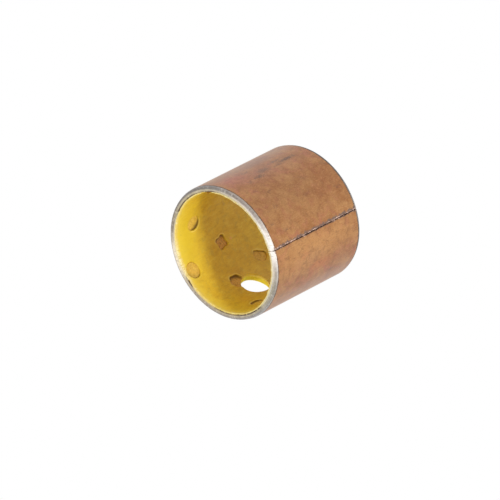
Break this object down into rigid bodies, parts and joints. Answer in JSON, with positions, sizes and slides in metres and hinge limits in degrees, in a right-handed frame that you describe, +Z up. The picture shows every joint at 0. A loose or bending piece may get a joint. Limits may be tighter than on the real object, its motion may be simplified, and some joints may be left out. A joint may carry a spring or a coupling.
{
  "type": "sleeve bush",
  "caption": "Plain split sleeve bush: steel-backed, bronze-bonded strip with a pocketed plastic running surface, copper-flashed outside and pierced with an oil hole.",
  "frame": {"origin": "on the bore axis at mid-length, the centre of the bounding box", "axes": "+Y along the bore axis, +Z up with the bush lying on its side; the oil hole points down and slightly towards -X, the butt joint faces +X and a little up"},
  "size_m": [0.028, 0.025, 0.028],
  "materials": {
    "steel": "sheared and chamfered low-carbon steel, satin grey",
    "sintered_bronze": "porous, matte brown",
    "acetal": "satin yellow plastic, lightly mottled",
    "copper": "thin copper flash with rolled grain and handling stains"
  },
  "bodies": {
    "root": {"steel_backing": "steel", "bronze_sinter_layer": "sintered_bronze", "acetal_lining": "acetal", "copper_plating": "copper"}
  },
  "joints": []
}
